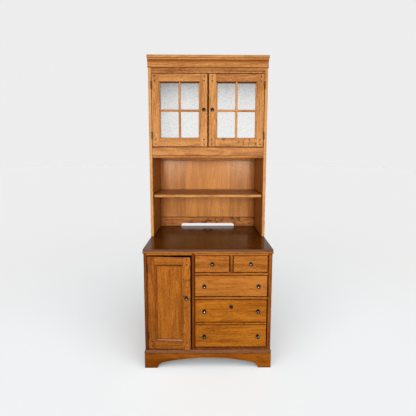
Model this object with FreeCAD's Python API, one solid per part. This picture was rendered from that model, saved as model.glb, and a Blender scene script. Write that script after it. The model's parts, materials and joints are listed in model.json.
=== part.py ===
import FreeCAD, Part
import math
import os

# Dresser with hutch: a base with a cupboard and drawers under a glazed, open hutch.
# Millimetres. X runs to the right, Y to the back, Z up, and the front faces -Y.
# The origin is on the floor, midway between the foremost knob and the back.

# Boards and clearances
board = 19.0
face_member = 19.0
back_thickness = 6.0
back_rabbet = 9.0
loose = 1.0
snug = 0.2
pin_fit = 0.05

# Base cabinet, from the floor up and from left to right
plinth_height = 99.5
bottom_rail_height = 42.0
cupboard_rail_height = 33.0
file_opening = 331.0
wide_opening = 143.0
small_opening = 115.0
top_rail_height = 11.0
top_thickness = 27.0
cupboard_opening = 286.0
drawer_opening = 473.0
left_stile = 20.0
right_stile = 24.0
base_depth = 592.0

# Moulded edge of the base top
top_overhang = 5.5
top_arris = 4.0
top_bead_height = 12.5
top_quirk = 0.8
top_cove_hollow = 0.4
top_fillet = 2.0

# Plinth with its arch, and the moulding that caps it
plinth_overhang = 5.0
foot_width = 84.0
knee_width = 34.0
knee_height = 39.0
knee_swell = 5.0
arch_height = 70.5
moulding_height = 27.0
moulding_lip = 6.0
moulding_top = 2.0
moulding_swell = 3.0

# Hutch
hutch_depth = 324.0
hutch_side = 20.0
bay_height = 576.0
lower_rail_height = 75.0
glass_opening = 508.0
frieze_height = 37.0
rail_bead_height = 16.0
rail_bead_hollow = 2.5
crown_height = 83.0
crown_overhang = 7.0
crown_foot = 3.5
crown_cove_height = 53.0
crown_cove_reach = 4.0
crown_cove_hollow = 2.5
crown_bead_height = 11.0
crown_bead_reach = 5.5
crown_round = 2.5
crown_thickness = 20.0

# Rails across the back of the hutch, with the cable slot in the lower one
back_rail_thickness = 12.0
back_rail_height = 75.0
cleat_drop = 24.0
slot_width = 443.0
slot_height = 26.0
slot_corner = 20.0

# Cable grommet in the base top
grommet_hole_radius = 24.0
grommet_wall = 2.0
grommet_flange_radius = 34.0
grommet_flange_thickness = 2.0
grommet_sleeve = 22.0
grommet_from_back = 128.0

# Shelves and their pins
shelf_thickness = 20.0
shelf_nose = 4.0
shelf_side_gap = 1.5
display_shelf_height = 309.0
display_shelf_setback = 23.0
cabinet_shelf_height = 255.0
cabinet_shelf_setback = 50.0
cupboard_shelf_height = 310.0
cupboard_shelf_setback = 150.0
shelf_pin_radius = 2.5
shelf_pin_sunk = 10.0
shelf_pin_proud = 9.0
shelf_pin_inset = 40.0

# Dowels that hold the hutch on the base
dowel_radius = 4.0
dowel_half = 17.0
dowel_inset = 50.0

# Doors
glass_stile = 61.0
cupboard_stile = 58.0
door_rail = 63.0
door_gap = 3.0
hinge_gap = 2.5
glass_meeting_gap = 9.0
glass_bottom_gap = 5.0
cupboard_free_gap = 7.5
cupboard_top_gap = 8.0
sticking_width = 12.0
sticking_depth = 9.0
sticking_quirk = 1.5
sticking_swell = 2.0
infill_setback = 10.0
tenon_thickness = 6.0
tenon_length = 32.0
tenon_shoulder = 8.0
peg_radius = 4.5
peg_depth = 13.0
peg_proud = 0.4
peg_inset = 17.0
peg_pitch = 32.0
peg_from_side = 23.0
glass_thickness = 3.0
glass_rabbet = 8.0
glass_stop_width = 7.0
muntin_width = 15.0
muntin_setback = 2.0
muntin_chamfer = 4.0
panel_thickness = 6.0
panel_groove = 8.0
cupboard_door_ajar = 3.5

# Butt hinges
hinge_length = 51.0
hinge_from_end = 78.0
knuckle_radius = 3.2
knuckle_gap = 0.4
hinge_pin_radius = 1.5
hinge_pin_proud = 2.4
hinge_pin_head = 1.5
leaf_thickness = 1.4
leaf_width = 13.0

# Magnetic catches
catch_width = 40.0
catch_depth = 14.0
catch_drop = 12.0
catch_gap = 0.5
catch_from_edge = 20.0

# Drawers
front_gap = 3.0
front_gap_right = 5.0
front_round = 2.5
false_rail_height = 17.0
false_rail_groove = 5.0
false_rail_groove_depth = 3.0
box_gap = 10.0
box_wood = 12.0
box_length = 425.0
box_lift = 8.0
small_box_height = 86.0
wide_box_height = 112.0
file_box_height = 252.0
bottom_thickness = 6.0
bottom_groove = 6.0
bottom_lift = 10.0
bearer_height = 16.0
bearer_bite = 10.0
guide_height = 24.0
guide_gap = 0.5
runner_start = 2.0
wide_knob_inset = 62.0

# Knobs
knob_radius = 11.0
knob_rosette_radius = 10.5
knob_rosette_height = 2.5
knob_neck_radius = 4.5
knob_neck_height = 9.0
knob_height = 23.0
knob_spigot_radius = 3.0
knob_spigot_depth = 12.0
cupboard_knob_height = 351.0
glass_knob_raise = 5.0
door_knob_inset = 25.0

# File drawer lock
lock_flange_radius = 11.5
lock_flange_height = 3.0
lock_barrel_radius = 9.0
lock_plug_radius = 6.0
lock_plug_recess = 0.8
lock_keyway_width = 2.0
lock_keyway_length = 8.0
lock_keyway_depth = 6.0
lock_below_top = 47.0
lock_cam_thickness = 2.5
lock_cam_width = 14.0
lock_cam_length = 58.0
lock_cam_gap = 0.3

# Places worked out from the sizes above
base_width = left_stile + cupboard_opening + face_member + drawer_opening + right_stile
base_half = base_width / 2
hutch_half = base_half + top_arris
hutch_inner = hutch_half - hutch_side
ajar = math.radians(cupboard_door_ajar)
knob_lever = cupboard_opening - cupboard_free_gap - door_knob_inset - hinge_gap / 2
knob_tip = knob_height - hinge_pin_proud
front_reach = hinge_pin_proud + knob_lever * math.sin(ajar) + knob_tip * math.cos(ajar)
face_y = (front_reach - base_depth) / 2
frame_back_y = face_y + board
back_y = face_y + base_depth
panel_y = back_y - back_thickness
hutch_y = back_y - hutch_depth
hutch_rail_back_y = hutch_y + board

cupboard_x0 = -base_half + left_stile
cupboard_x1 = cupboard_x0 + cupboard_opening
drawer_x0 = cupboard_x1 + face_member
drawer_x1 = drawer_x0 + drawer_opening
mullion_x0 = (drawer_x0 + drawer_x1 - face_member) / 2
mullion_x1 = mullion_x0 + face_member
divider_x0 = (drawer_x0 + drawer_x1 - board) / 2
divider_x1 = divider_x0 + board
partition_x0 = drawer_x0 - board
side_inner = base_half - board

floor_z = plinth_height + bottom_rail_height
cupboard_z0 = plinth_height + cupboard_rail_height
file_z1 = floor_z + file_opening
wide_z0 = file_z1 + face_member
wide_z1 = wide_z0 + wide_opening
small_z0 = wide_z1 + face_member
small_z1 = small_z0 + small_opening
carcass_z = small_z1 + top_rail_height
top_z = carcass_z + top_thickness
lower_rail_z0 = top_z + bay_height
glass_z0 = lower_rail_z0 + lower_rail_height
glass_z1 = glass_z0 + glass_opening
crown_z = glass_z1 + frieze_height
crest_z = crown_z + crown_height
cabinet_floor_z0 = glass_z0 - board
hutch_ceiling_z = crown_z - board

parts = {}


def vec(x, y, z):
    return FreeCAD.Vector(x, y, z)


def box(x0, x1, y0, y1, z0, z1):
    return Part.makeBox(x1 - x0, y1 - y0, z1 - z0, vec(x0, y0, z0))


def rod(radius, start, along):
    return Part.makeCylinder(radius, along.Length, start, along)


def cut(shape, tools):
    return shape.cut(Part.makeCompound(tools)) if tools else shape


def mirrored(shape):
    return shape.mirror(vec(0, 0, 0), vec(1, 0, 0))


def outline_face(steps, place):
    """Face inside a closed outline; a step is a point, or (middle, end) for an arc."""
    start = place(*steps[0])
    here = start
    edges = []
    for step in steps[1:]:
        if isinstance(step[0], tuple):
            middle = place(*step[0])
            end = place(*step[1])
            edges.append(Part.Arc(here, middle, end).toShape())
        else:
            end = place(*step)
            edges.append(Part.LineSegment(here, end).toShape())
        here = end
    edges.append(Part.LineSegment(here, start).toShape())
    return Part.Face(Part.Wire(edges))


def along_x(steps, x0, x1):
    """Solid with a (y, z) outline, running in X."""
    face = outline_face(steps, lambda y, z: vec(x0, y, z))
    return face.extrude(vec(x1 - x0, 0, 0))


def along_y(steps, y0, y1):
    """Solid with an (x, z) outline, running in Y."""
    face = outline_face(steps, lambda x, z: vec(x, y0, z))
    return face.extrude(vec(0, y1 - y0, 0))


def along_z(steps, z0, z1):
    """Solid with an (x, y) outline, running in Z."""
    face = outline_face(steps, lambda x, y: vec(x, y, z0))
    return face.extrude(vec(0, 0, z1 - z0))


def turned(steps, x, y, z):
    """Solid of revolution about a line in Y; steps are (radius, height towards the front)."""
    face = outline_face(steps, lambda r, h: vec(x + r, y - h, z))
    return face.revolve(vec(x, y, z), vec(0, 1, 0), 360)


def mapped(steps, place):
    """The same outline with each point moved by place."""
    moved = []
    for step in steps:
        if isinstance(step[0], tuple):
            moved.append((place(*step[0]), place(*step[1])))
        else:
            moved.append(place(*step))
    return moved


def reversed_steps(steps):
    """The same outline run the other way."""
    back = []
    for index in range(len(steps) - 1, -1, -1):
        step = steps[index]
        end = step[1] if isinstance(step[0], tuple) else step
        follower = steps[index + 1] if index + 1 < len(steps) else None
        if follower and isinstance(follower[0], tuple):
            back.append((follower[0], end))
        else:
            back.append(end)
    return back


def moulded_block(profile, half, front, back):
    """Block whose front and sides carry a moulding of (reach, z) points, mitred at the corners."""
    reach = 2 * half
    front_steps = mapped(profile, lambda o, z: (front - o, z))
    z_low = profile[0][1]
    last = profile[-1]
    z_high = last[1][1] if isinstance(last[0], tuple) else last[1]
    across = along_x(front_steps + [(back, z_high), (back, z_low)], -reach, reach)
    right_steps = mapped(profile, lambda o, z: (half + o, z))
    left_steps = mapped(reversed_steps(profile), lambda o, z: (-half - o, z))
    deep = along_y(right_steps + left_steps, front - reach, back)
    return across.common(deep)


def mitred_pieces(ring, half, front, back):
    """Cut a three-sided ring into its front, left and right pieces at 45 degree mitres."""
    spread = back - front
    wedge_steps = [
        (-half - spread, front - spread),
        (half + spread, front - spread),
        (half - spread / 4, front + spread / 4),
        (-half + spread / 4, front + spread / 4),
    ]
    box_of = ring.BoundBox
    wedge = along_z(wedge_steps, box_of.ZMin - loose, box_of.ZMax + loose)
    rest = ring.cut(wedge)
    return [ring.common(wedge)] + list(rest.Solids)


def add(name, solids):
    parts[name] = parts.get(name, []) + solids


# Carcass of the base


def base_carcass():
    back_cut = box(-side_inner - back_rabbet, side_inner + back_rabbet, panel_y, back_y + loose,
                   plinth_height, carcass_z)
    right = box(side_inner, base_half, frame_back_y, back_y, plinth_height, carcass_z)
    left = mirrored(right)
    pin_holes = shelf_pin_solids("cupboard", pin_fit)
    add("base_sides", [left.cut(back_cut).cut(pin_holes), right.cut(back_cut)])

    partition = box(partition_x0, drawer_x0, frame_back_y, panel_y, floor_z, carcass_z)
    divider = box(divider_x0, divider_x1, frame_back_y, panel_y, small_z0, carcass_z)
    add("base_partitions", [partition.cut(pin_holes), divider])

    bottom = box(-side_inner, side_inner, frame_back_y, panel_y, floor_z - board, floor_z)
    door_space = box(cupboard_x0, cupboard_x1, frame_back_y - loose, frame_back_y + loose,
                     cupboard_z0, floor_z + loose)
    add("base_bottom_board", [bottom.cut(door_space)])
    panel_half = side_inner + back_rabbet - loose
    add("base_back_panel", [
        box(-panel_half, panel_half, panel_y, back_y, plinth_height, carcass_z),
    ])


def face_frame():
    hinge_cuts = [hinge["frame_cut"] for hinge in cupboard_hinges()]
    left = box(-base_half, cupboard_x0, face_y, frame_back_y, plinth_height, carcass_z)
    centre = box(cupboard_x1, drawer_x0, face_y, frame_back_y, plinth_height, carcass_z)
    right = box(drawer_x1, base_half, face_y, frame_back_y, plinth_height, carcass_z)
    mullion = box(mullion_x0, mullion_x1, face_y, frame_back_y, small_z0, small_z1)
    add("face_frame_stiles", [cut(left, hinge_cuts), centre, right, mullion])

    rails = []
    for x0, x1, z1 in ((cupboard_x0, cupboard_x1, cupboard_z0), (drawer_x0, drawer_x1, floor_z)):
        rails.append(box(x0, x1, face_y, frame_back_y, plinth_height, z1))
        rails.append(box(x0, x1, face_y, frame_back_y, small_z1, carcass_z))
    for z0, z1 in ((file_z1, wide_z0), (wide_z1, small_z0)):
        rails.append(box(drawer_x0, drawer_x1, face_y, frame_back_y, z0, z1))
    add("face_frame_rails", rails)


def base_top():
    profile = [
        (top_arris, carcass_z),
        ((top_overhang, carcass_z + top_bead_height / 2),
         (top_overhang - 2 * top_quirk, carcass_z + top_bead_height)),
        (top_overhang - 3 * top_quirk, carcass_z + top_bead_height + top_quirk / 2),
        (((top_overhang - 3 * top_quirk + top_arris) / 2 - top_cove_hollow,
          (carcass_z + top_bead_height + top_z - top_fillet) / 2),
         (top_arris, top_z - top_fillet)),
        (top_arris, top_z),
    ]
    slab = moulded_block(profile, base_half, face_y, back_y)
    hole_radius = grommet_hole_radius + grommet_wall + snug
    hole = rod(hole_radius, vec(0, back_y - grommet_from_back, carcass_z - loose),
               vec(0, 0, top_thickness + 2 * loose))
    add("base_top", [slab.cut(hole).cut(dowel_solids(pin_fit))])


def cable_grommet():
    y = back_y - grommet_from_back
    flange = rod(grommet_flange_radius, vec(0, y, top_z), vec(0, 0, grommet_flange_thickness))
    sleeve = rod(grommet_hole_radius + grommet_wall, vec(0, y, top_z - grommet_sleeve),
                 vec(0, 0, grommet_sleeve))
    bore = rod(grommet_hole_radius, vec(0, y, top_z - grommet_sleeve - loose),
               vec(0, 0, grommet_sleeve + grommet_flange_thickness + 2 * loose))
    rim = flange.makeFillet(grommet_flange_thickness / 2, [flange.Edges[0]])
    add("cable_grommet", [rim.fuse(sleeve).cut(bore).removeSplitter()])


# Plinth and its moulding


def arch_steps(half_length):
    """Outline of the space under a plinth board, between two bracket feet."""
    foot = half_length - foot_width
    knee = foot - knee_width
    middle_x = (foot + knee) / 2
    middle_z = knee_height / 2
    return [
        (-foot, -loose),
        (-foot, 0),
        ((-middle_x - knee_swell, middle_z + knee_swell), (-knee, knee_height)),
        ((0, arch_height), (knee, knee_height)),
        ((middle_x + knee_swell, middle_z + knee_swell), (foot, 0)),
        (foot, -loose),
    ]


def plinth():
    half = base_half + plinth_overhang
    front = face_y - plinth_overhang
    ring = box(-half, half, front, back_y, 0, plinth_height)
    ring = ring.cut(box(-half + board, half - board, front + board, back_y + loose,
                        -loose, plinth_height + loose))
    front_arch = along_y(arch_steps(half), front - loose, front + board)
    side_middle = (front + back_y) / 2
    side_steps = mapped(arch_steps((back_y - front) / 2), lambda y, z: (y + side_middle, z))
    side_arch = along_x(side_steps, -half - loose, half + loose)
    pieces = mitred_pieces(ring, half, front, back_y)
    boards = [pieces[0].cut(front_arch)]
    for side in pieces[1:]:
        boards.append(side.cut(side_arch))
    boards.append(box(-half + board, half - board, back_y - board, back_y, 0, plinth_height))
    add("plinth_boards", boards)


def base_moulding():
    z0 = plinth_height
    z1 = plinth_height + moulding_height
    slope_x = (plinth_overhang + moulding_top) / 2
    slope_z = (z0 + moulding_lip + z1 - moulding_lip) / 2
    profile = [
        (plinth_overhang, z0),
        (plinth_overhang, z0 + moulding_lip),
        ((slope_x + moulding_swell / 2, slope_z + moulding_swell), (moulding_top, z1 - moulding_lip / 2)),
        (moulding_top, z1),
    ]
    ring = moulded_block(profile, base_half, face_y, back_y)
    ring = ring.cut(box(-base_half, base_half, face_y, back_y + loose, z0 - loose, z1 + loose))
    add("base_moulding", mitred_pieces(ring, base_half, face_y, back_y))


# Shelf pins and dowels


def shelf_places():
    """Each shelf: name, left and right wall, front edge, back edge and top."""
    return [
        ("display", -hutch_inner, hutch_inner, hutch_y + display_shelf_setback, panel_y,
         top_z + display_shelf_height),
        ("cabinet", -hutch_inner, hutch_inner, hutch_y + cabinet_shelf_setback, panel_y,
         glass_z0 + cabinet_shelf_height),
        ("cupboard", -side_inner, partition_x0, face_y + cupboard_shelf_setback, panel_y,
         floor_z + cupboard_shelf_height),
    ]


def shelf_pin_solids(shelf, clearance):
    """The four pins under one shelf, each grown by clearance."""
    pins = []
    for name, wall_left, wall_right, front, back, top in shelf_places():
        if name != shelf:
            continue
        z = top - shelf_thickness - shelf_pin_radius
        length = shelf_pin_sunk + shelf_pin_proud
        for y in (front + shelf_pin_inset, back - shelf_pin_inset):
            for wall, inward in ((wall_left, 1), (wall_right, -1)):
                start = vec(wall - inward * shelf_pin_sunk, y, z)
                pins.append(rod(shelf_pin_radius + clearance, start, vec(inward * length, 0, 0)))
    return Part.makeCompound(pins)


def adjustable_shelves():
    shelves = []
    for name, wall_left, wall_right, front, back, top in shelf_places():
        shelf = box(wall_left + shelf_side_gap, wall_right - shelf_side_gap, front, back - loose,
                    top - shelf_thickness, top)
        nose = [edge for edge in shelf.Edges
                if abs(edge.BoundBox.YMin - front) < pin_fit and abs(edge.BoundBox.YMax - front) < pin_fit
                and edge.BoundBox.XLength > loose]
        shelves.append(shelf.makeFillet(shelf_nose, nose))
        add("shelf_pins", shelf_pin_solids(name, 0).Solids)
    add("adjustable_shelves", shelves)


def dowel_solids(clearance):
    """The four dowels between base top and hutch sides, each grown by clearance."""
    dowels = []
    x = hutch_half - hutch_side / 2
    for side in (-1, 1):
        for y in (hutch_y + dowel_inset, back_y - dowel_inset):
            start = vec(side * x, y, top_z - dowel_half)
            dowels.append(rod(dowel_radius + clearance, start, vec(0, 0, 2 * dowel_half)))
    return Part.makeCompound(dowels)


# Hutch


def hutch_case():
    back_cut = box(-hutch_inner - back_rabbet, hutch_inner + back_rabbet, panel_y, back_y + loose,
                   top_z + slot_height, crown_z)
    hinge_cuts = [hinge["frame_cut"] for hinge in glass_hinges(1) + glass_hinges(-1)]
    holes = hinge_cuts + [back_cut, dowel_solids(pin_fit)]
    holes += [shelf_pin_solids("display", pin_fit), shelf_pin_solids("cabinet", pin_fit)]
    right = box(hutch_inner, hutch_half, hutch_y, back_y, top_z, crown_z)
    add("hutch_sides", [cut(mirrored(right), holes), cut(right, holes)])
    add("hutch_top_board", [
        box(-hutch_inner, hutch_inner, hutch_rail_back_y, panel_y, hutch_ceiling_z, crown_z),
    ])
    add("hutch_cabinet_floor", [
        box(-hutch_inner, hutch_inner, hutch_rail_back_y, panel_y, cabinet_floor_z0, glass_z0),
    ])
    panel_half = hutch_inner + back_rabbet - loose
    panel_z0 = top_z + (slot_height + back_rail_height) / 2
    add("hutch_back_panel", [box(-panel_half, panel_half, panel_y, back_y, panel_z0, crown_z)])


def beaded_rail(z0, z1):
    """Rail across the hutch front with a bead along its lower edge."""
    bead_z = z0 + rail_bead_height
    return along_x([
        (hutch_rail_back_y, z0),
        (hutch_y + rail_bead_hollow, z0),
        ((hutch_y, (z0 + bead_z) / 2), (hutch_y + rail_bead_hollow, bead_z)),
        (hutch_y, bead_z + rail_bead_hollow / 2),
        (hutch_y, z1),
        (hutch_rail_back_y, z1),
    ], -hutch_inner, hutch_inner)


def hutch_rails():
    add("hutch_frieze", [beaded_rail(glass_z1, crown_z)])
    add("hutch_lower_rail", [beaded_rail(lower_rail_z0, glass_z0)])
    front = panel_y - back_rail_thickness
    lower = box(-hutch_inner, hutch_inner, front, panel_y, top_z, top_z + back_rail_height)
    half = slot_width / 2
    slot_z = top_z + slot_height
    bend = slot_corner * (1 - math.sqrt(0.5))
    slot = along_y([
        (-half, top_z - loose),
        (-half, slot_z - slot_corner),
        ((-half + bend, slot_z - bend), (-half + slot_corner, slot_z)),
        (half - slot_corner, slot_z),
        ((half - bend, slot_z - bend), (half, slot_z - slot_corner)),
        (half, top_z - loose),
    ], front - loose, back_y + loose)
    cleat = box(-hutch_inner, hutch_inner, front, panel_y, lower_rail_z0 - cleat_drop, cabinet_floor_z0)
    add("hutch_back_rails", [lower.cut(slot), cleat])


def crown():
    cove_z = crown_z + crown_cove_height
    bead_z = cove_z + crown_bead_height
    profile = [
        (crown_foot, crown_z),
        (((crown_foot + crown_cove_reach) / 2 - crown_cove_hollow / 2,
          crown_z + crown_cove_height / 2 + crown_cove_hollow),
         (crown_cove_reach, cove_z)),
        ((crown_bead_reach, (cove_z + bead_z) / 2), (crown_cove_reach, bead_z)),
        (crown_overhang, bead_z),
        (crown_overhang, crest_z - crown_round),
        (crown_overhang - crown_round, crest_z),
    ]
    ring = moulded_block(profile, hutch_half, hutch_y, back_y)
    inner = hutch_half - crown_thickness
    ring = ring.cut(box(-inner, inner, hutch_y + crown_thickness, back_y + loose,
                        crown_z - loose, crest_z + loose))
    add("crown_moulding", mitred_pieces(ring, hutch_half, hutch_y, back_y))


# Hinges


def butt_hinge(edge_x, front_y, z, side):
    """Butt hinge on an opening's edge; side is 1 where the door lies to the right of that edge."""
    axis_y = front_y - hinge_pin_proud
    axis_u = hinge_gap / 2
    half = hinge_length / 2
    third = hinge_length / 3
    plate_y0 = axis_y + knuckle_radius + knuckle_gap
    plate_y1 = plate_y0 + leaf_width
    bore = rod(hinge_pin_radius + pin_fit, vec(axis_u, axis_y, z - half - loose),
               vec(0, 0, hinge_length + 2 * loose))

    def knuckle(u0, z0, z1):
        tab = box(u0, u0 + leaf_thickness, axis_y, plate_y0, z0, z1)
        barrel = rod(knuckle_radius, vec(axis_u, axis_y, z0), vec(0, 0, z1 - z0))
        return tab.fuse(barrel)

    def leaf(u0, spans):
        shape = box(u0, u0 + leaf_thickness, plate_y0, plate_y1, z - half, z + half)
        for z0, z1 in spans:
            shape = shape.fuse(knuckle(u0, z0, z1))
        return shape.cut(bore).removeSplitter()

    low = z - third / 2
    high = z + third / 2
    play = knuckle_gap / 2
    frame_leaf = leaf(-leaf_thickness, ((z - half, low - play), (high + play, z + half)))
    door_leaf = leaf(hinge_gap, ((low + play, high - play),))

    pin = rod(hinge_pin_radius, vec(axis_u, axis_y, z - half), vec(0, 0, hinge_length))
    for start in (z - half - hinge_pin_head, z + half):
        pin = pin.fuse(rod(hinge_pin_radius + loose, vec(axis_u, axis_y, start), vec(0, 0, hinge_pin_head)))

    relief_half = half + hinge_pin_head + knuckle_gap
    relief = rod(knuckle_radius + knuckle_gap, vec(axis_u, axis_y, z - relief_half),
                 vec(0, 0, 2 * relief_half))

    def pocket(u0):
        recess = box(u0, u0 + leaf_thickness, axis_y, plate_y1, z - half, z + half)
        return recess.fuse(relief)

    pieces = {
        "frame_leaf": frame_leaf,
        "door_leaf": door_leaf,
        "pin": pin.removeSplitter(),
        "frame_cut": pocket(-leaf_thickness),
        "door_cut": pocket(hinge_gap),
    }
    for name in pieces:
        shape = mirrored(pieces[name]) if side < 0 else pieces[name]
        shape.translate(vec(edge_x, 0, 0))
        pieces[name] = shape
    return pieces


def glass_hinges(side):
    """Hinges of the left glass door (side 1) or the right one (side -1)."""
    heights = (glass_z0 + glass_bottom_gap + hinge_from_end, glass_z1 - door_gap - hinge_from_end)
    return [butt_hinge(-side * hutch_inner, hutch_y, z, side) for z in heights]


def cupboard_hinges():
    heights = (floor_z + door_gap + hinge_from_end, small_z1 - cupboard_top_gap - hinge_from_end)
    return [butt_hinge(cupboard_x0, face_y, z, 1) for z in heights]


def fixed_hinge_pieces():
    for hinge in glass_hinges(1) + glass_hinges(-1) + cupboard_hinges():
        add("hinge_frame_leaves", [hinge["frame_leaf"]])
        add("hinge_pins", [hinge["pin"]])


# Doors


def sight_opening(x0, x1, z0, z1, y):
    """Cutter for a door's opening, widening to the front into the moulded sticking."""
    swell_share = sticking_swell / math.hypot(sticking_width, sticking_depth - sticking_quirk)
    middle = (sticking_width / 2 - swell_share * (sticking_depth - sticking_quirk),
              (sticking_depth + sticking_quirk) / 2 - swell_share * sticking_width)
    profile = [
        (sticking_width, -loose),
        (sticking_width, sticking_quirk),
        (middle, (0, sticking_depth)),
        (0, board + loose),
    ]
    left = mapped(profile, lambda o, d: (x0 - o, y + d))
    right = mapped(reversed_steps(profile), lambda o, d: (x1 + o, y + d))
    upright = along_z(left + right, z0 - 2 * sticking_width, z1 + 2 * sticking_width)
    low = mapped(profile, lambda o, d: (y + d, z0 - o))
    high = mapped(reversed_steps(profile), lambda o, d: (y + d, z1 + o))
    level = along_x(low + high, x0 - 2 * sticking_width, x1 + 2 * sticking_width)
    return upright.common(level)


def stile_steps(x_out, x_in, z0, z1):
    """Outline of a stile in (x, z), with its moulded edge mitred to the rails."""
    lip = math.copysign(sticking_width, x_in - x_out)
    return [
        (x_out, z0),
        (x_in - lip, z0),
        (x_in - lip, z0 + door_rail - sticking_width),
        (x_in, z0 + door_rail),
        (x_in, z1 - door_rail),
        (x_in - lip, z1 - door_rail + sticking_width),
        (x_in - lip, z1),
        (x_out, z1),
    ]


def tenon_boxes(x_in, towards_rail, z0, z1, y, clearance):
    """Tenons of the lower and upper rail in one stile, each grown by clearance."""
    shoulder = x_in - towards_rail * sticking_width
    x_tip = shoulder - towards_rail * (tenon_length + clearance)
    middle_y = y + board / 2
    half = tenon_thickness / 2 + clearance
    xs = sorted((x_tip, x_in))
    depth = door_rail - glass_rabbet - loose
    tenons = []
    for low, high in ((z0 + tenon_shoulder, z0 + depth), (z1 - depth, z1 - tenon_shoulder)):
        tenons.append(box(xs[0], xs[1], middle_y - half, middle_y + half,
                          low - clearance, high + clearance))
    return tenons


def peg_rods(x0, x1, z0, z1, y, front, clearance):
    """Two pegs through each corner joint, standing front of the face by front."""
    pegs = []
    for x in (x0 + peg_from_side, x1 - peg_from_side):
        for step in (peg_inset, peg_inset + peg_pitch):
            for z in (z0 + step, z1 - step):
                pegs.append(rod(peg_radius + clearance, vec(x, y - front, z), vec(0, peg_depth + front, 0)))
    return pegs


def door_frame(x0, x1, z0, z1, y, stile_width, cuts):
    """Stiles and rails of a door with pegged tenons: the four solids, and the ring they came from."""
    ring = box(x0, x1, y, y + board, z0, z1)
    sight_x0 = x0 + stile_width
    sight_x1 = x1 - stile_width
    ring = ring.cut(sight_opening(sight_x0, sight_x1, z0 + door_rail, z1 - door_rail, y))
    ring = cut(ring, cuts)
    peg_holes = peg_rods(x0, x1, z0, z1, y, loose, pin_fit)
    left_blank = along_y(stile_steps(x0, sight_x0, z0, z1), y - loose, y + board + loose)
    right_blank = along_y(stile_steps(x1, sight_x1, z0, z1), y - loose, y + board + loose)
    rails = ring.cut(left_blank).cut(right_blank)
    stiles = []
    for blank, x_in, towards_rail in ((left_blank, sight_x0, 1), (right_blank, sight_x1, -1)):
        stile = ring.common(blank)
        stile = cut(stile, tenon_boxes(x_in, towards_rail, z0, z1, y, snug))
        stiles.append(cut(stile, peg_holes))
        for tenon in tenon_boxes(x_in, towards_rail, z0, z1, y, 0):
            rails = rails.fuse(tenon)
    rails = cut(rails.removeSplitter(), peg_holes)
    return stiles + list(rails.Solids), ring


def rectangle_ring(x0, x1, z0, z1, width, y0, y1):
    """Four strips round a rectangle: two full height, two between them."""
    return [
        box(x0, x0 + width, y0, y1, z0, z1),
        box(x1 - width, x1, y0, y1, z0, z1),
        box(x0 + width, x1 - width, y0, y1, z0, z0 + width),
        box(x0 + width, x1 - width, y0, y1, z1 - width, z1),
    ]


def muntin_bars(x0, x1, z0, z1, y, ring):
    """Crossed glazing bars, halved together, with their ends scribed to the frame."""
    half = muntin_width / 2
    front = y + muntin_setback
    shoulder = front + muntin_chamfer
    back = y + infill_setback
    middle_x = (x0 + x1) / 2
    middle_z = (z0 + z1) / 2
    crest = half - muntin_chamfer
    section = [
        (-half, back), (-half, shoulder), (-crest, front),
        (crest, front), (half, shoulder), (half, back),
    ]
    upright = along_z([(middle_x + u, d) for u, d in section], z0 - sticking_width, z1 + sticking_width)
    level = along_x([(d, middle_z + u) for u, d in section], x0 - sticking_width, x1 + sticking_width)
    halving = box(middle_x - half, middle_x + half, (shoulder + back) / 2, back,
                  middle_z - half, middle_z + half)
    upright = upright.cut(halving).cut(ring)
    return [upright, level.cut(upright).cut(ring)]


def knob(x, y, z):
    return turned([
        (0, -knob_spigot_depth),
        (knob_spigot_radius, -knob_spigot_depth),
        (knob_spigot_radius, 0),
        (knob_rosette_radius, 0),
        (knob_rosette_radius, knob_rosette_height / 2),
        (knob_neck_radius, knob_rosette_height),
        (knob_neck_radius, knob_neck_height),
        ((knob_radius, (knob_neck_height + knob_height) / 2), (knob_neck_radius, knob_height - loose)),
        (0, knob_height),
    ], x, y, z)


def knob_hole(x, y, z):
    return rod(knob_spigot_radius + pin_fit, vec(x, y - loose, z), vec(0, knob_spigot_depth + loose, 0))


def glass_door(name, side):
    """One glazed door; side is 1 for the left door, hinged at the left."""
    z0 = glass_z0 + glass_bottom_gap
    z1 = glass_z1 - door_gap
    edges = sorted((-side * (hutch_inner - hinge_gap), -side * glass_meeting_gap / 2))
    x0 = edges[0]
    x1 = edges[1]
    knob_x = -side * (glass_meeting_gap / 2 + door_knob_inset)
    knob_z = (z0 + z1) / 2 + glass_knob_raise
    hinges = glass_hinges(side)
    sight_x0 = x0 + glass_stile
    sight_x1 = x1 - glass_stile
    sight_z0 = z0 + door_rail
    sight_z1 = z1 - door_rail
    infill_y = hutch_y + infill_setback
    rabbet = box(sight_x0 - glass_rabbet, sight_x1 + glass_rabbet, infill_y, hutch_y + board + loose,
                 sight_z0 - glass_rabbet, sight_z1 + glass_rabbet)
    cuts = [hinge["door_cut"] for hinge in hinges] + [rabbet, knob_hole(knob_x, hutch_y, knob_z)]
    frame, ring = door_frame(x0, x1, z0, z1, hutch_y, glass_stile, cuts)
    add(name + "_frame", frame)
    add(name + "_muntins", muntin_bars(sight_x0, sight_x1, sight_z0, sight_z1, hutch_y, ring))
    edge = glass_rabbet - snug
    pane = (sight_x0 - edge, sight_x1 + edge, infill_y, infill_y + glass_thickness,
            sight_z0 - edge, sight_z1 + edge)
    add(name + "_glass", [box(*pane)])
    add(name + "_glass_stops", rectangle_ring(
        sight_x0 - edge, sight_x1 + edge, sight_z0 - edge, sight_z1 + edge, glass_stop_width,
        infill_y + glass_thickness, hutch_y + board))
    add(name + "_pegs", peg_rods(x0, x1, z0, z1, hutch_y, peg_proud, 0))
    add(name + "_knob", [knob(knob_x, hutch_y, knob_z)])
    add(name + "_hinge_leaves", [hinge["door_leaf"] for hinge in hinges])


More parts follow.
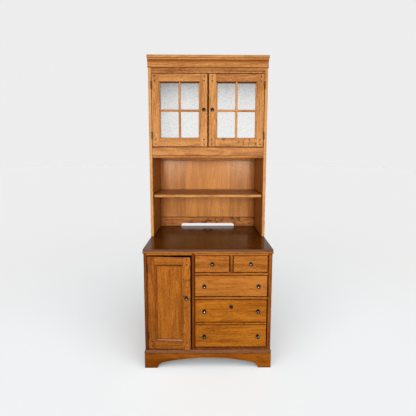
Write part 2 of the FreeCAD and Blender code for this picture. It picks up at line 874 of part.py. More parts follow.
def cupboard_door():
    """Panelled door of the base, standing a little ajar about its hinge pins."""
    z0 = cupboard_z0 + door_gap
    z1 = small_z1 - cupboard_top_gap
    x0 = cupboard_x0 + hinge_gap
    x1 = cupboard_x1 - cupboard_free_gap
    knob_x = x1 - door_knob_inset
    knob_z = floor_z + cupboard_knob_height
    hinges = cupboard_hinges()
    sight = (x0 + cupboard_stile, x1 - cupboard_stile, z0 + door_rail, z1 - door_rail)
    panel_y0 = face_y + infill_setback
    panel_y1 = panel_y0 + panel_thickness
    groove = box(sight[0] - panel_groove, sight[1] + panel_groove, panel_y0, panel_y1 + snug,
                 sight[2] - panel_groove, sight[3] + panel_groove)
    cuts = [hinge["door_cut"] for hinge in hinges] + [groove, knob_hole(knob_x, face_y, knob_z)]
    frame, ring = door_frame(x0, x1, z0, z1, face_y, cupboard_stile, cuts)
    edge = panel_groove - loose
    panel = box(sight[0] - edge, sight[1] + edge, panel_y0, panel_y1, sight[2] - edge, sight[3] + edge)
    pieces = {
        "cupboard_door_frame": frame,
        "cupboard_door_panel": [panel],
        "cupboard_door_pegs": peg_rods(x0, x1, z0, z1, face_y, peg_proud, 0),
        "cupboard_door_knob": [knob(knob_x, face_y, knob_z)],
        "cupboard_door_hinge_leaves": [hinge["door_leaf"] for hinge in hinges],
    }
    pivot = vec(cupboard_x0 + hinge_gap / 2, face_y - hinge_pin_proud, 0)
    for name, solids in pieces.items():
        for solid in solids:
            solid.rotate(pivot, vec(0, 0, 1), -cupboard_door_ajar)
        add(name, solids)


def door_catches():
    catches = []
    y0 = hutch_rail_back_y + catch_gap
    for side in (-1, 1):
        x = side * (glass_meeting_gap / 2 + catch_from_edge + catch_width / 2)
        z0 = glass_z1 - door_gap - catch_drop
        catches.append(box(x - catch_width / 2, x + catch_width / 2, y0, y0 + catch_depth,
                           z0, hutch_ceiling_z))
    x1 = cupboard_x1 - cupboard_free_gap - catch_from_edge
    y0 = frame_back_y + catch_gap
    z0 = small_z1 - cupboard_top_gap - catch_drop
    catches.append(box(x1 - catch_width, x1, y0, y0 + catch_depth, z0, carcass_z))
    add("door_catches", catches)


# Drawers


def drawer_front(x0, x1, z0, z1, holes):
    """Inset drawer front with eased edges; returns the solid."""
    front = box(x0, x1, face_y, frame_back_y, z0, z1)
    eased = [edge for edge in front.Edges if edge.BoundBox.YMax < face_y + pin_fit]
    return cut(front.makeFillet(front_round, eased), holes)


def drawer_box(x0, x1, z0, height, holes):
    """Drawer box: two sides, a front and a back, and a bottom in their grooves."""
    y0 = frame_back_y
    y1 = frame_back_y + box_length
    z1 = z0 + height
    inner_x0 = x0 + box_wood
    inner_x1 = x1 - box_wood
    bottom_z = z0 + bottom_lift
    bottom_slot = box(inner_x0 - bottom_groove, inner_x1 + bottom_groove, y0 + box_wood - bottom_groove,
                      y1 + loose, bottom_z, bottom_z + bottom_thickness + snug)
    left = box(x0, inner_x0, y0, y1, z0, z1)
    right = box(inner_x1, x1, y0, y1, z0, z1)
    inner_front = cut(box(inner_x0, inner_x1, y0, y0 + box_wood, z0, z1), holes)
    back = box(inner_x0, inner_x1, y1 - box_wood, y1, bottom_z + bottom_thickness + snug, z1)
    edge = bottom_groove - snug
    bottom = box(inner_x0 - edge, inner_x1 + edge, y0 + box_wood - edge, y1,
                 bottom_z, bottom_z + bottom_thickness)
    return [left.cut(bottom_slot), right.cut(bottom_slot), inner_front.cut(bottom_slot), back, bottom]


def drawer_runners(wall_left, wall_right, x0, x1, z0):
    """On each wall, a bearer under the drawer side and a guide strip beside it."""
    y0 = frame_back_y + runner_start
    bearer_z1 = z0 - snug
    bearer_z0 = max(floor_z, bearer_z1 - bearer_height)
    guide_z1 = z0 + guide_height
    return [
        box(wall_left, x0 + bearer_bite, y0, panel_y, bearer_z0, bearer_z1),
        box(x1 - bearer_bite, wall_right, y0, panel_y, bearer_z0, bearer_z1),
        box(wall_left, x0 - guide_gap, y0, panel_y, bearer_z1, guide_z1),
        box(x1 + guide_gap, wall_right, y0, panel_y, bearer_z1, guide_z1),
    ]


def drawer(name, opening, walls, height, knobs, grooves=(), barrel=None):
    """A drawer in its opening (x0, x1, z0, z1), on runners fixed to two walls."""
    x0, x1, z0, z1 = opening
    holes = [knob_hole(x, face_y, z) for x, z in knobs]
    for z in grooves:
        holes.append(box(x0, x1, face_y - loose, face_y + false_rail_groove_depth,
                         z - false_rail_groove / 2, z + false_rail_groove / 2))
    barrel_holes = [barrel] if barrel else []
    add(name + "_front", [drawer_front(x0 + front_gap, x1 - front_gap_right, z0 + front_gap,
                                       z1 - front_gap, holes + barrel_holes)])
    box_x0 = x0 + box_gap
    box_x1 = x1 - box_gap
    box_z = z0 + box_lift
    add(name + "_box", drawer_box(box_x0, box_x1, box_z, height, barrel_holes))
    add(name + "_knobs", [knob(x, face_y, z) for x, z in knobs])
    add("drawer_runners", drawer_runners(walls[0], walls[1], box_x0, box_x1, box_z))


def lock_place():
    """Centre line of the file drawer's lock: x and z."""
    return (drawer_x0 + drawer_x1) / 2, file_z1 - front_gap - lock_below_top


def drawers():
    small_z = (small_z0 + small_z1) / 2
    drawer("small_left_drawer", (drawer_x0, mullion_x0, small_z0, small_z1), (drawer_x0, divider_x0),
           small_box_height, [((drawer_x0 + mullion_x0) / 2, small_z)])
    drawer("small_right_drawer", (mullion_x1, drawer_x1, small_z0, small_z1), (divider_x1, side_inner),
           small_box_height, [((mullion_x1 + drawer_x1) / 2, small_z)])

    knob_xs = (drawer_x0 + wide_knob_inset, drawer_x1 - wide_knob_inset)
    walls = (drawer_x0, side_inner)
    wide_z = (wide_z0 + wide_z1) / 2
    drawer("wide_drawer", (drawer_x0, drawer_x1, wide_z0, wide_z1), walls, wide_box_height,
           [(x, wide_z) for x in knob_xs])

    false_rail_z = (floor_z + file_z1) / 2
    grooves = (false_rail_z - false_rail_height / 2, false_rail_z + false_rail_height / 2)
    upper_z = (grooves[1] + file_z1) / 2
    lower_z = (floor_z + grooves[0]) / 2
    lock_x, lock_z = lock_place()
    barrel = rod(lock_barrel_radius + pin_fit, vec(lock_x, face_y - loose, lock_z),
                 vec(0, board + box_wood + 2 * loose, 0))
    drawer("file_drawer", (drawer_x0, drawer_x1, floor_z, file_z1), walls, file_box_height,
           [(x, z) for z in (upper_z, lower_z) for x in knob_xs], grooves, barrel)


def file_lock():
    """Cam lock: a flanged barrel through the drawer front, and the plug that turns its cam."""
    x, z = lock_place()
    barrel_end = face_y + board + box_wood
    flange_y = face_y - lock_flange_height
    flange = rod(lock_flange_radius, vec(x, flange_y, z), vec(0, lock_flange_height, 0))
    rim = flange.makeFillet(lock_flange_height / 2, [flange.Edges[2]])
    housing = rim.fuse(rod(lock_barrel_radius, vec(x, face_y, z), vec(0, barrel_end - face_y, 0)))
    bore = rod(lock_plug_radius + pin_fit, vec(x, flange_y - loose, z),
               vec(0, barrel_end - flange_y + 2 * loose, 0))
    add("file_lock_housing", [housing.cut(bore).removeSplitter()])

    plug_y0 = flange_y + lock_plug_recess
    cam_y0 = barrel_end + lock_cam_gap
    plug = rod(lock_plug_radius, vec(x, plug_y0, z), vec(0, cam_y0 - plug_y0, 0))
    keyway = box(x - lock_keyway_width / 2, x + lock_keyway_width / 2, plug_y0 - loose,
                 plug_y0 + lock_keyway_depth, z - lock_keyway_length / 2, z + lock_keyway_length / 2)
    half = lock_cam_width / 2
    cam = along_y([
        (x + lock_cam_length, z - half),
        (x + lock_cam_length, z + half),
        (x, z + half),
        ((x - half, z), (x, z - half)),
    ], cam_y0, cam_y0 + lock_cam_thickness)
    add("file_lock_plug", [plug.cut(keyway).fuse(cam).removeSplitter()])


def build():
    base_carcass()
    face_frame()
    base_top()
    cable_grommet()
    plinth()
    base_moulding()
    adjustable_shelves()
    hutch_case()
    hutch_rails()
    crown()
    add("hutch_dowels", dowel_solids(0).Solids)
    fixed_hinge_pieces()
    glass_door("left_glass_door", 1)
    glass_door("right_glass_door", -1)
    cupboard_door()
    door_catches()
    drawers()
    file_lock()


build()
os.makedirs("parts", exist_ok=True)
for node, solids in parts.items():
    Part.makeCompound(solids).exportStep(os.path.join("parts", node + ".step"))
print(len(parts), "parts,", sum(len(solids) for solids in parts.values()), "solids")
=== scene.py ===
import json
import math
import random

import bmesh
import bpy
from mathutils import Matrix, Vector, noise

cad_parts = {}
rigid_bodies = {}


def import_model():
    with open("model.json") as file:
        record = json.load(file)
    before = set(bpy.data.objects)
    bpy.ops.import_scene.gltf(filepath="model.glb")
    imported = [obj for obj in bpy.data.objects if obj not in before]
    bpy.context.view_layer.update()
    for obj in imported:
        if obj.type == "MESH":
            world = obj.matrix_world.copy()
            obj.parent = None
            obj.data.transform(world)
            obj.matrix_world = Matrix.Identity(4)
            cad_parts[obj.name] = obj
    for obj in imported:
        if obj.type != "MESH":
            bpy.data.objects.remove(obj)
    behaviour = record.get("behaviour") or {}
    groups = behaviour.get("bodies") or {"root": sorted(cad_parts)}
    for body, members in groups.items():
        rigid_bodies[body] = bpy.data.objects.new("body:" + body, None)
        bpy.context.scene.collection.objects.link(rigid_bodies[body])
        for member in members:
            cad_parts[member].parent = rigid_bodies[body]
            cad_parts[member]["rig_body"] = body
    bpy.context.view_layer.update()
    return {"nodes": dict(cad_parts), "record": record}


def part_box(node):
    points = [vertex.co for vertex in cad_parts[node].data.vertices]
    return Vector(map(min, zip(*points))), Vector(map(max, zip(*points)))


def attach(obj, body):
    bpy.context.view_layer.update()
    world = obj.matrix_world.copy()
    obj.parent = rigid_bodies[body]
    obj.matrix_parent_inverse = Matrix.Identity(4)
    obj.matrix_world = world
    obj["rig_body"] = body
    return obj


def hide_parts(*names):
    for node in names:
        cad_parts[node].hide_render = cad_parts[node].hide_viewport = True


# Dresser with hutch: oak finishes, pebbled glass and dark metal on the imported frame.
# Metres, +Z up, and the front faces -Y.

# Camera, worked out from the photograph in its own 416 pixel frame
FRAME_PIXELS = 416
FOCAL_PIXELS = 270.0
CENTRE_ROW = 183.7
SENSOR_MM = 36.0
CAMERA_X = -0.0144
CAMERA_Z = 1.3946
CAMERA_BEFORE_FACE = 1.6627
CAMERA_YAW = 0.0077
CAMERA_PITCH = 0.1013
CAMERA_ROLL = 0.0020

# Light levels: a white front-facing surface comes out close to white
SKY_TOP = 0.24
SKY_SIDE = 0.05
BACKDROP_LEVEL = 0.847
FRONT_ROOM_LEVEL = 0.05
FRONT_ROOM_EDGE = (0.0, 0.6)
KEY_POWER = 29.5
KEY_PLACE = Vector((0.76, -2.6, 1.55))
KEY_TARGET = Vector((0.0, 0.0, 1.2))
KEY_SIZE = (0.5, 1.0)
SIDE_POWER = 40.0
SIDE_PLACE = Vector((2.6, 1.6, 2.3))
SIDE_SIZE = 1.6
GLINT_POWER = 1250.0
GLINT_PLACE = Vector((0.0, -2.2, 3.2))
GLINT_SIZE = (1.8, 0.6)
CARD_POWER = 130.0
CARD_PLACE = Vector((0.15, -2.6, 0.3))
CARD_SIZE = 0.4

# Floor: lit by a wide light of its own from above the front, so that it takes a soft shadow
FLOOR_RADIUS = 40.0
FLOOR_SIDES = 96
FLOOR_LIGHT = 3.75
FLOOR_LIGHT_ANGLE = math.radians(110)
FLOOR_LIGHT_PLACE = Vector((0.5, -5.0, 4.2))
FLOOR_SEEN = (0.85, 0.85, 0.85, 1)
FLOOR_NEAR_SEEN = (0.80, 0.835, 0.85, 1)
FLOOR_BOUNCE = (0.25, 0.25, 0.25, 1)
FLOOR_NEAR_GLOW = 0.095
FLOOR_FAR_GLOW = 0.033
FLOOR_NEAR_RADIUS = 0.8
FLOOR_FAR_RADIUS = 3.0

# Boards: eased edges, welding, upright veneer leaves, and the bands that take another wood, several of
# them painted shade, painted light or a painted sheen
EASE = 0.0012
LONG_EDGE = 0.012
SHARP_ANGLE = math.radians(35)
FLAT_ANGLE = math.radians(0.6)
WELD = 1e-6
PLACE_DIGITS = 6
VENEER_LEAF = 0.1835
LEAF_AXES = (2, 0, 1)
# Painted shade on the edge faces of doors and drawer fronts, darkening the gaps round them
GAP_SHADE = 1.0
TOP_BEAD = 0.0125
INNER_FACE = 0.3
EDGE_BAND = 0.003
TOP_RAIL = 0.012
FALSE_RAIL_HALF = 0.0055
GROOVE_HALF = 0.0125
LEVEL_NORMAL = 0.9
UNDERCUT_NORMAL = -0.2
SIDEWAYS_NORMAL = 0.5

# Where a board lies in its log: along, across and below the heart line
LOG_ALONG = 1.0
LOG_ACROSS = 0.06
LOG_DEPTH = (0.03, 0.1)

# Detail and roughness of the noises in oak grain
PORE_NOISE = (2.0, 0.6)
DASH_NOISE = (3.0, 0.65)
PATCH_NOISE = (4.0, 0.6)

# Oak grain: noise scales are per metre along, across and through a board; pairs are smooth steps
DRIFT_SCALE = (2.2, 10.0, 10.0)
DRIFT_REACH = (0.0, 0.06, 0.06)
RING_WIDTH = 0.011
RING_TILT = 0.045
EARLY_WOOD = (0.08, 0.6)
LATE_WOOD = (0.86, 1.0)
PORE_SCALE = (26.0, 620.0, 620.0)
PORE_RANGE = (0.52, 0.68)
PORES_IN_LATE_WOOD = 0.35
DASH_SCALE = (60.0, 210.0, 210.0)
PATCH_SCALE = (3.0, 32.0, 32.0)
SWING_RANGE = (0.3, 0.7)
SPOT_SCALE = (16.0, 20.0, 20.0)
FLECK_SLANT = 0.8
FLECK_RATE = 2 * math.pi / 0.019
FLECK_EDGE = (0.0, 0.9)
FLECK_SPOTS = (0.3, 0.55)
BOW_SCALE = (7.0, 9.0, 9.0)
BOW_TURN = 11.0
HOOK_SCALE = (12.0, 24.0, 10.0)
HOOK_TWIST = 1.2
HOOK_CONTOUR = 0.5
HOOK_LINE = 0.05
HOOK_SPOTS = (0.38, 0.5)
GRAIN_BUMP = 0.25
GRAIN_DEPTH = 0.0004
RING_DEPTH = -0.25
PORE_ROUGHNESS = 0.2

# Oak colour: tone runs from 0, pale, to 1, deep, and the rest is how far each layer shows
MEAN_TONE = 0.45
MEAN_BAND = 0.4
BOARD_TONE = 0.25
FLECK_TONE = -0.5
PORES_SHOW = 0.6
HOOKS_SHOW = 0.75
VARNISH = (1.0, 0.82, 0.62, 1)

# Dark bands along edges, partly glaze and partly painted shade; painted shade in recesses, in the gaps
# round doors and drawer fronts, and on the crown
EDGE_DARK_WIDTH = 0.0018
HONEY_EDGE_DARK = 0.0026
WIDE_EDGE_DARK = 0.004
RAGGED_SCALE = 55.0
RAGGED_RANGE = (0.2, 0.8)
# Painted shade in recesses, from ambient occlusion
RECESS_REACH = 0.011
RECESS_SAMPLES = 4
RECESS_RANGE = (0.05, 0.42)
RECESS_SHOWS = 0.92
GAP_SHADE_SHOWS = 0.8
# Painted shade in the crown's cove, and a painted shadow line along its foot
CROWN_COVE = (-0.022, 0.0115)
CROWN_FOOT = (-0.0415, -0.035)
CROWN_FOOT_SHOWS = 0.75
CROWN_SHADE_COLOUR = (0.29, 0.066, 0.0, 1)

# Small pieces: noise scales per metre, smooth steps, wear and bumps
PEG_SPECK = 700.0
PEG_RANGE = (0.35, 0.65)
METAL_MOTTLE = 260.0
METAL_RANGE = (0.35, 0.75)
WORN_ROUGHNESS = 0.1
PLASTIC_SPECK = 900.0
PLASTIC_BUMP = 0.15
PLASTIC_DEPTH = 0.0002
UPRIGHT_RANGE = (0.05, 0.3)

# Pebbled glass; the greyer top of each door's glass and the left of the left door's are painted shade
PEBBLE_GRID = 0.0025
PEBBLE_SIZE = 0.0095
PEBBLE_DEPTH = 0.0009
PEBBLE_STEEPNESS = 3.5
GLASS_GREY = (0.35, 0.35, 0.345, 1)
GLASS_WHITE = (0.93, 0.93, 0.92, 1)
GLASS_SHADE_FOOT = 0.3
GLASS_SHADE_CURVE = 3.0
GLASS_SHADE_SIDES = (-0.34, -0.15)
GLASS_LEVEL_LEFT = 0.81
GLASS_GAIN_RIGHT = 0.3
GLASS_TOP_SHADE = -0.8
GLASS_LOSS_HOLLOW = -0.38

for leftover in list(bpy.data.objects):
    bpy.data.objects.remove(leftover)
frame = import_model()
nodes = frame["nodes"]


# Shader helpers


def new_material(name):
    """Empty material with its output node; returns (material, tree, output)."""
    material = bpy.data.materials.new(name)
    material.use_nodes = True
    tree = material.node_tree
    tree.nodes.clear()
    return material, tree, tree.nodes.new("ShaderNodeOutputMaterial")


def add_node(tree, kind, inputs=(), **settings):
    """New node with its settings; inputs maps a socket's name or number to a value or a socket."""
    made = tree.nodes.new(kind)
    for name, value in settings.items():
        setattr(made, name, value)
    for key, value in dict(inputs).items():
        if isinstance(value, bpy.types.NodeSocket):
            tree.links.new(value, made.inputs[key])
        else:
            made.inputs[key].default_value = value
    return made


def maths(tree, operation, a, b=0.0, c=0.0):
    made = add_node(tree, "ShaderNodeMath", {0: a, 1: b, 2: c}, operation=operation)
    return made.outputs[0]


def flipped(tree, value):
    return maths(tree, "SUBTRACT", 1.0, value)


def vector_maths(tree, operation, a, b=(0.0, 0.0, 0.0)):
    made = add_node(tree, "ShaderNodeVectorMath", {0: a, 1: b}, operation=operation)
    return made.outputs[0]


def scaled(tree, vector, factors):
    return vector_maths(tree, "MULTIPLY", vector, factors)


def separated(tree, vector):
    return add_node(tree, "ShaderNodeSeparateXYZ", {0: vector}).outputs


def attribute(tree, name, output="Fac"):
    """A value that the mesh carries."""
    return add_node(tree, "ShaderNodeAttribute", attribute_name=name).outputs[output]


def smooth_range(tree, value, low, high):
    """0 below low, 1 above high and a smooth step between."""
    made = add_node(tree, "ShaderNodeMapRange", {0: value, 1: low, 2: high},
                    interpolation_type="SMOOTHSTEP")
    return made.outputs[0]


def mixed(tree, factor, a, b):
    """Colour a where factor is 0 and b where it is 1; 6 and 7 are the node's colour sockets."""
    made = add_node(tree, "ShaderNodeMix", {0: factor, 6: a, 7: b}, data_type="RGBA")
    return made.outputs[2]


def cloud(tree, vector, scale, detail=2.0, roughness=0.5):
    """Noise node of a scale in features per metre."""
    return add_node(tree, "ShaderNodeTexNoise",
                    {"Vector": vector, "Scale": scale, "Detail": detail, "Roughness": roughness})


def finish_material(tree, output, shader):
    tree.links.new(shader.outputs[0], output.inputs["Surface"])


# Materials


def edge_glaze_and_shade(tree, place, strength, reach):
    """Ragged dark band along edges, partly glaze and partly painted shade; a point is as far from one as
    the middle of its three depths.
    """
    away = vector_maths(tree, "ABSOLUTE", place)
    x, y, z = separated(tree, vector_maths(tree, "SUBTRACT", attribute(tree, "half", "Vector"), away))
    least = maths(tree, "MINIMUM", x, y)
    most = maths(tree, "MAXIMUM", x, y)
    middle = maths(tree, "MAXIMUM", least, maths(tree, "MINIMUM", most, z))
    ragged = cloud(tree, place, RAGGED_SCALE, 3.0).outputs["Fac"]
    width = maths(tree, "MULTIPLY", smooth_range(tree, ragged, *RAGGED_RANGE), reach * 2)
    return maths(tree, "MULTIPLY", flipped(tree, smooth_range(tree, middle, 0.0, width)), strength)


def recess_shade(tree):
    """Painted shade from ambient occlusion in corners, grooves and gaps."""
    openness = add_node(tree, "ShaderNodeAmbientOcclusion", {"Distance": RECESS_REACH},
                        samples=RECESS_SAMPLES)
    return smooth_range(tree, flipped(tree, openness.outputs["AO"]), *RECESS_RANGE)


def crown_shade(tree, rise):
    """Painted shade in the crown's cove, up to its lip, and along its foot."""
    cove = smooth_range(tree, rise, *CROWN_COVE)
    cove = maths(tree, "MULTIPLY", cove, maths(tree, "LESS_THAN", rise, CROWN_COVE[1]))
    foot = flipped(tree, smooth_range(tree, rise, *CROWN_FOOT))
    return maths(tree, "MAXIMUM", cove, maths(tree, "MULTIPLY", foot, CROWN_FOOT_SHOWS))


def growth_rings(tree, grain):
    """Rings about a heart line, wandering along the board; returns (along, across, porous band)."""
    drift = cloud(tree, scaled(tree, grain, DRIFT_SCALE), 1.0).outputs["Color"]
    drift = scaled(tree, vector_maths(tree, "SUBTRACT", drift, (0.5, 0.5, 0.5)), DRIFT_REACH)
    along, across, thick = separated(tree, vector_maths(tree, "ADD", grain, drift))
    depth = maths(tree, "MULTIPLY_ADD", along, RING_TILT, thick)
    square = maths(tree, "MULTIPLY_ADD", across, across, maths(tree, "MULTIPLY", depth, depth))
    phase = maths(tree, "FRACT", maths(tree, "DIVIDE", maths(tree, "SQRT", square), RING_WIDTH))
    early = flipped(tree, smooth_range(tree, phase, *EARLY_WOOD))
    return along, across, maths(tree, "MAXIMUM", early, smooth_range(tree, phase, *LATE_WOOD))


def open_pores(tree, grain, band):
    """Thin dark pores along the grain, crowded into the porous band."""
    streak = cloud(tree, scaled(tree, grain, PORE_SCALE), 1.0, *PORE_NOISE).outputs["Fac"]
    crowd = maths(tree, "MULTIPLY_ADD", band, 1 - PORES_IN_LATE_WOOD, PORES_IN_LATE_WOOD)
    return maths(tree, "MULTIPLY", smooth_range(tree, streak, *PORE_RANGE), crowd)


def swing(tree, grain, scale, detail, roughness):
    """Noise drawn out along the grain, from -0.5 to 0.5."""
    made = cloud(tree, scaled(tree, grain, scale), 1.0, detail, roughness).outputs["Fac"]
    return maths(tree, "SUBTRACT", smooth_range(tree, made, *SWING_RANGE), 0.5)


def ray_fleck(tree, grain, along, across, spot):
    """Thin bowed stripes slanting over the grain, here and there."""
    slant = maths(tree, "MULTIPLY_ADD", across, FLECK_SLANT, along)
    bow = cloud(tree, scaled(tree, grain, BOW_SCALE), 1.0, 1.0).outputs["Fac"]
    wave = maths(tree, "MULTIPLY_ADD", bow, BOW_TURN, maths(tree, "MULTIPLY", slant, FLECK_RATE))
    stripe = smooth_range(tree, maths(tree, "SINE", wave), *FLECK_EDGE)
    return maths(tree, "MULTIPLY", stripe, smooth_range(tree, spot, *FLECK_SPOTS))


def curl_hooks(tree, grain, spot):
    """Thin hooks of curly figure, here and there: the contour lines of a twisted cloud."""
    twisted = cloud(tree, scaled(tree, grain, HOOK_SCALE), 1.0, 0.0)
    twisted.inputs["Distortion"].default_value = HOOK_TWIST
    away = maths(tree, "ABSOLUTE", maths(tree, "SUBTRACT", twisted.outputs["Fac"], HOOK_CONTOUR))
    line = flipped(tree, smooth_range(tree, away, 0.0, HOOK_LINE))
    return maths(tree, "MULTIPLY", line, smooth_range(tree, spot, *HOOK_SPOTS))


def oak(name, pale, deep, pore, rings=0.2, streaks=0.42, patches=0.45, rough=0.42, gloss=0.15,
        edge_dark=0.65, reach=EDGE_DARK_WIDTH, curly=0.0, ends=0.0, cove_shade_colour=None):
    """Oak cut from a log, with fleck and curl on chosen boards; ends deepens its tone along the board."""
    material, tree, output = new_material(name)
    grain = attribute(tree, "grain", "Vector")
    place = attribute(tree, "place", "Vector")
    run, rise, _ = separated(tree, place)
    along, across, band = growth_rings(tree, grain)
    pores = open_pores(tree, grain, band)
    spot = cloud(tree, scaled(tree, grain, SPOT_SCALE), 1.0, 1.0).outputs["Fac"]
    fleck = maths(tree, "MULTIPLY", ray_fleck(tree, grain, along, across, spot), attribute(tree, "fleck"))
    curl = maths(tree, "MAXIMUM", attribute(tree, "curl"), curly)
    hooks = maths(tree, "MULTIPLY", curl_hooks(tree, grain, spot), curl)

    tone = maths(tree, "MULTIPLY_ADD", maths(tree, "SUBTRACT", band, MEAN_BAND), rings, MEAN_TONE)
    layers = (
        (swing(tree, grain, DASH_SCALE, *DASH_NOISE), streaks),
        (swing(tree, grain, PATCH_SCALE, *PATCH_NOISE), patches),
        (attribute(tree, "board"), BOARD_TONE),
        (run, ends),
        (fleck, FLECK_TONE),
    )
    for layer, share in layers:
        tone = maths(tree, "MULTIPLY_ADD", layer, share, tone)
    tone = add_node(tree, "ShaderNodeClamp", {0: tone}).outputs[0]

    colour = mixed(tree, tone, pale, deep)
    for layer, share in ((pores, PORES_SHOW), (hooks, HOOKS_SHOW)):
        colour = mixed(tree, maths(tree, "MULTIPLY", layer, share), colour, pore)
    # Painted shade in the crown's cove and along its foot
    if cove_shade_colour:
        colour = mixed(tree, crown_shade(tree, rise), colour, cove_shade_colour)
    # Dark bands along edges, partly glaze and partly painted shade, then painted shade in recesses and in
    # the gaps
    glaze_and_shade = edge_glaze_and_shade(tree, place, edge_dark, reach)
    for layer, share in ((recess_shade(tree), RECESS_SHOWS), (attribute(tree, "rim"), GAP_SHADE_SHOWS)):
        glaze_and_shade = maths(tree, "MAXIMUM", glaze_and_shade, maths(tree, "MULTIPLY", layer, share))
    colour = mixed(tree, glaze_and_shade, colour, pore)

    height = maths(tree, "MULTIPLY_ADD", pores, -1.0, maths(tree, "MULTIPLY", band, RING_DEPTH))
    bump = add_node(tree, "ShaderNodeBump",
                    {"Strength": GRAIN_BUMP, "Distance": GRAIN_DEPTH, "Height": height})
    shader = add_node(tree, "ShaderNodeBsdfPrincipled", {
        "Base Color": colour,
        "Roughness": maths(tree, "MULTIPLY_ADD", pores, PORE_ROUGHNESS, rough),
        "Normal": bump.outputs[0],
        "Specular IOR Level": gloss,
        "Specular Tint": VARNISH,
    })
    finish_material(tree, output, shader)
    return material


def plain_wood(name, pale, deep):
    """Small turned or cut wood with no board of its own, such as a peg's end."""
    material, tree, output = new_material(name)
    place = add_node(tree, "ShaderNodeTexCoord").outputs["Object"]
    speck = cloud(tree, place, PEG_SPECK, 3.0).outputs["Fac"]
    shader = add_node(tree, "ShaderNodeBsdfPrincipled", {
        "Base Color": mixed(tree, smooth_range(tree, speck, *PEG_RANGE), pale, deep),
        "Roughness": 0.5,
        "Specular IOR Level": 0.25,
    })
    finish_material(tree, output, shader)
    return material


def metal(name, colour, worn, rough):
    """Finished metal, a little mottled."""
    material, tree, output = new_material(name)
    place = add_node(tree, "ShaderNodeTexCoord").outputs["Object"]
    mottle = cloud(tree, place, METAL_MOTTLE, 3.0).outputs["Fac"]
    shade = smooth_range(tree, mottle, *METAL_RANGE)
    shader = add_node(tree, "ShaderNodeBsdfPrincipled", {
        "Base Color": mixed(tree, shade, colour, worn),
        "Metallic": 0.6,
        "Roughness": maths(tree, "MULTIPLY_ADD", shade, WORN_ROUGHNESS, rough),
    })
    finish_material(tree, output, shader)
    return material


def plastic(name, colour, upright, rough):
    """Matt plastic, with another colour on its upright faces; the dark plastic's paler upright colour is
    partly a painted reflection on the walls of a bore.
    """
    material, tree, output = new_material(name)
    place = add_node(tree, "ShaderNodeTexCoord").outputs["Object"]
    speck = cloud(tree, place, PLASTIC_SPECK).outputs["Fac"]
    normal = add_node(tree, "ShaderNodeNewGeometry").outputs["True Normal"]
    level = maths(tree, "ABSOLUTE", separated(tree, normal)[2])
    bump = add_node(tree, "ShaderNodeBump",
                    {"Strength": PLASTIC_BUMP, "Distance": PLASTIC_DEPTH, "Height": speck})
    shader = add_node(tree, "ShaderNodeBsdfPrincipled", {
        "Base Color": mixed(tree, smooth_range(tree, level, *UPRIGHT_RANGE), upright, colour),
        "Roughness": rough,
        "Specular IOR Level": 0.05,
        "Normal": bump.outputs[0],
    })
    finish_material(tree, output, shader)
    return material


def pebbled_glass(name):
    """Milky obscure glass, greyer towards the top and left with painted shade, and greyer in the hollows
    of its pebbles.
    """
    material, tree, output = new_material(name)
    coords = add_node(tree, "ShaderNodeTexCoord").outputs
    height = separated(tree, coords["Generated"])[2]
    across = separated(tree, coords["Object"])[0]
    # Painted shade: greyer towards the top and at the left
    rise = maths(tree, "SUBTRACT", height, GLASS_SHADE_FOOT)
    rise = maths(tree, "MAXIMUM", maths(tree, "DIVIDE", rise, 1 - GLASS_SHADE_FOOT), 0.0)
    side = smooth_range(tree, across, *GLASS_SHADE_SIDES)
    level = maths(tree, "MULTIPLY_ADD", side, GLASS_GAIN_RIGHT, GLASS_LEVEL_LEFT)
    top = maths(tree, "POWER", rise, GLASS_SHADE_CURVE)
    level = maths(tree, "MULTIPLY_ADD", top, GLASS_TOP_SHADE, level)
    level = maths(tree, "MULTIPLY_ADD", attribute(tree, "hollow"), GLASS_LOSS_HOLLOW, level)
    level = add_node(tree, "ShaderNodeClamp", {0: level}).outputs[0]
    shader = add_node(tree, "ShaderNodeBsdfPrincipled", {
        "Base Color": mixed(tree, level, GLASS_GREY, GLASS_WHITE),
        "Roughness": 0.3,
        "IOR": 1.5,
        "Specular IOR Level": 0.15,
        "Transmission Weight": 0.03,
    })
    finish_material(tree, output, shader)
    return material


# Each wood's pale, deep and pore colours
honey_tones = ((0.91, 0.416, 0.128, 1), (0.46, 0.148, 0.037, 1), (0.085, 0.019, 0.005, 1))
# Painted shade: a darker copy of the hutch oak for the inward faces of its sides
inner_shade_tones = ((0.46, 0.165, 0.030, 1), (0.27, 0.085, 0.012, 1), (0.06, 0.015, 0.003, 1))
# The base's woods run deeper than the hutch's honey oak, partly painted shade
amber_tones = ((0.65, 0.212, 0.026, 1), (0.31, 0.078, 0.007, 1), (0.05, 0.012, 0.002, 1))
# drawer_tones are bluer than golden_tones: a painted sheen on the upper drawers
drawer_tones = ((0.67, 0.234, 0.038, 1), (0.32, 0.088, 0.010, 1), (0.05, 0.012, 0.002, 1))
golden_tones = ((0.69, 0.227, 0.019, 1), (0.32, 0.081, 0.005, 1), (0.05, 0.012, 0.001, 1))
# Deepest near the floor: partly painted shade
plinth_tones = ((0.52, 0.148, 0.008, 1), (0.24, 0.055, 0.002, 1), (0.04, 0.010, 0.001, 1))
russet_tones = ((0.60, 0.185, 0.028, 1), (0.20, 0.046, 0.005, 1), (0.04, 0.010, 0.002, 1))
# Base moulding: its pinkish grey is partly a painted sheen
moulding_sheen_tones = ((0.36, 0.130, 0.050, 1), (0.18, 0.058, 0.019, 1), (0.05, 0.014, 0.004, 1))
# Painted shade: a darker, duller copy for the shelves' tops
shelf_top_shade_tones = ((0.56, 0.27, 0.092, 1), (0.35, 0.15, 0.041, 1), (0.06, 0.015, 0.003, 1))
